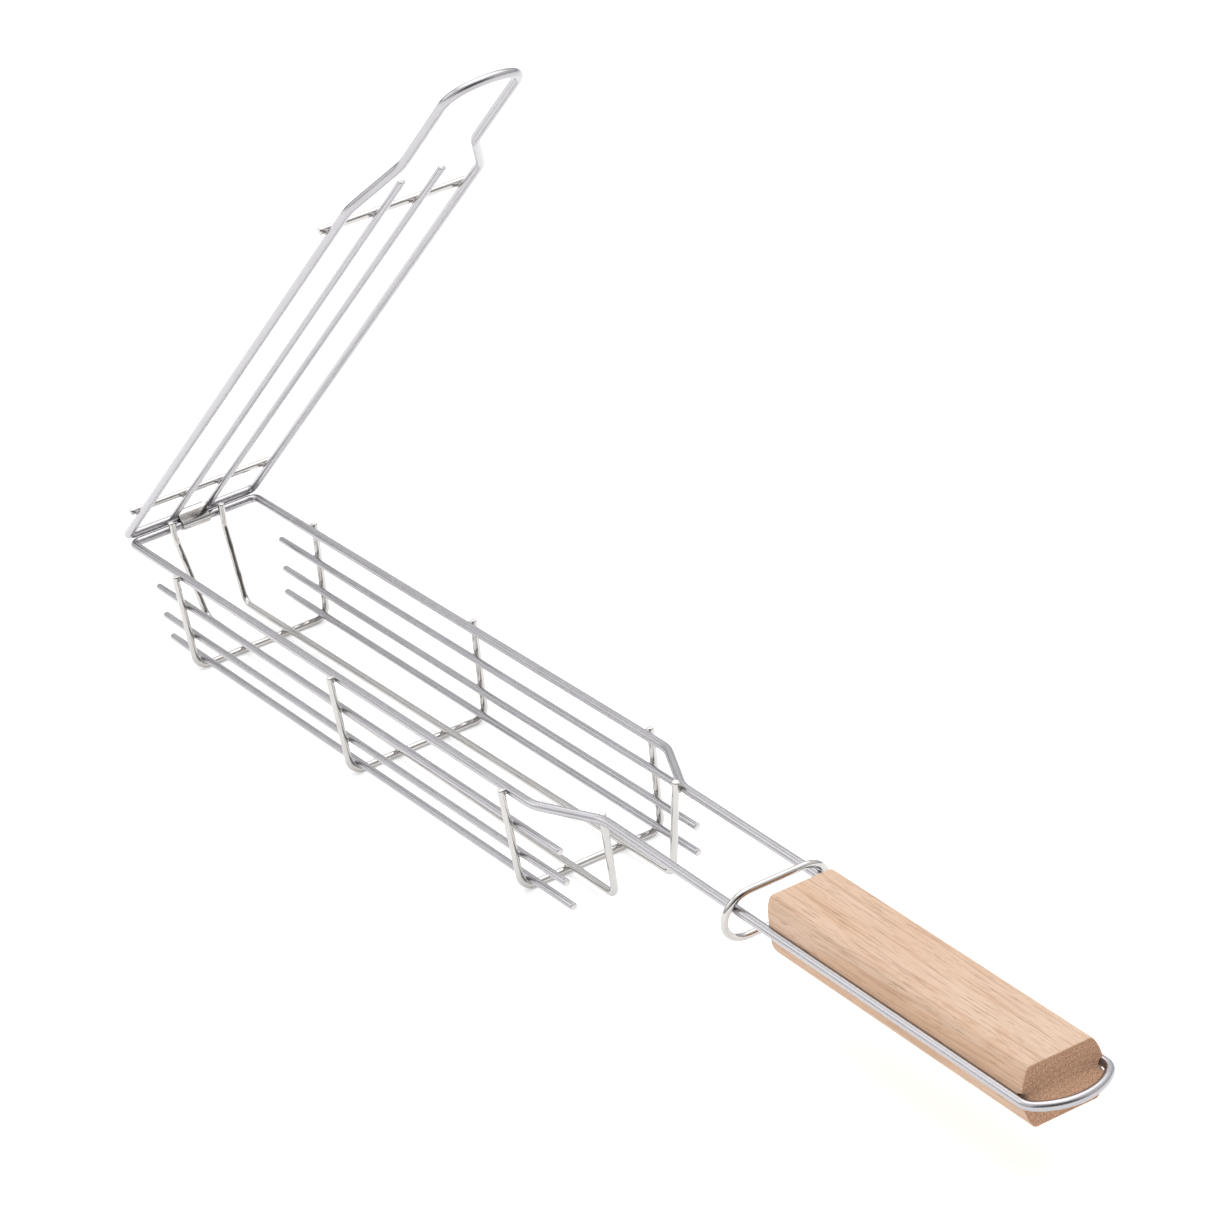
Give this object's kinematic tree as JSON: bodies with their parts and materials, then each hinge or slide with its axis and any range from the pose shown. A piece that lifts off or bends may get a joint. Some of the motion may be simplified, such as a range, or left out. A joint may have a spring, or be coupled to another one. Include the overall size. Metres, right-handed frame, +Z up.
{
  "type": "grill basket",
  "caption": "Long narrow welded-wire grill basket for kebabs, with a hinged wire lid, a sliding latch ring on the neck and a wooden handle with a hanging loop.",
  "frame": {"origin": "middle of the hinge bar, the cross piece of the basket frame that the lid swings about", "axes": "+X from the hinge bar along the basket to the handle, +Y to the right as seen by the person holding the handle, +Z up out of the basket's mouth"},
  "size_m": [0.6846, 0.0746, 0.3476],
  "materials": {
    "satin_steel": "satin drawn stainless wire",
    "bright_steel": "bright polished wire and sheet",
    "wood": "smooth untreated light hardwood, straight grain along the handle"
  },
  "bodies": {
    "basket": {"frame_wire": "satin_steel", "rib_wire_hinge": "bright_steel", "rib_wire_middle": "bright_steel", "rib_wire_front": "bright_steel", "side_wire_left_upper": "satin_steel", "side_wire_left_middle": "satin_steel", "side_wire_left_bottom": "satin_steel", "side_wire_right_upper": "satin_steel", "side_wire_right_middle": "satin_steel", "side_wire_right_bottom": "satin_steel", "floor_wire_left": "bright_steel", "floor_wire_right": "bright_steel", "wood_handle": "wood"},
    "ring": {"latch_ring": "bright_steel"},
    "lid": {"lid_frame_wire": "satin_steel", "lid_crossbar_hinge": "bright_steel", "lid_crossbar_tongue": "bright_steel", "lid_long_wire_left": "satin_steel", "lid_long_wire_right": "satin_steel", "hinge_clip": "bright_steel"}
  },
  "joints": [
    {"name": "lid_hinge", "type": "hinge", "parent": "basket", "child": "lid", "pos_m": [0, 0, 0], "axis": [0, -1, 0], "range_deg": [-39.4, 140.6]},
    {"name": "ring_slide", "type": "slide", "parent": "basket", "child": "ring", "axis": [-0.9821, 0, 0.1882], "range_m": [0, 0.0366]}
  ]
}
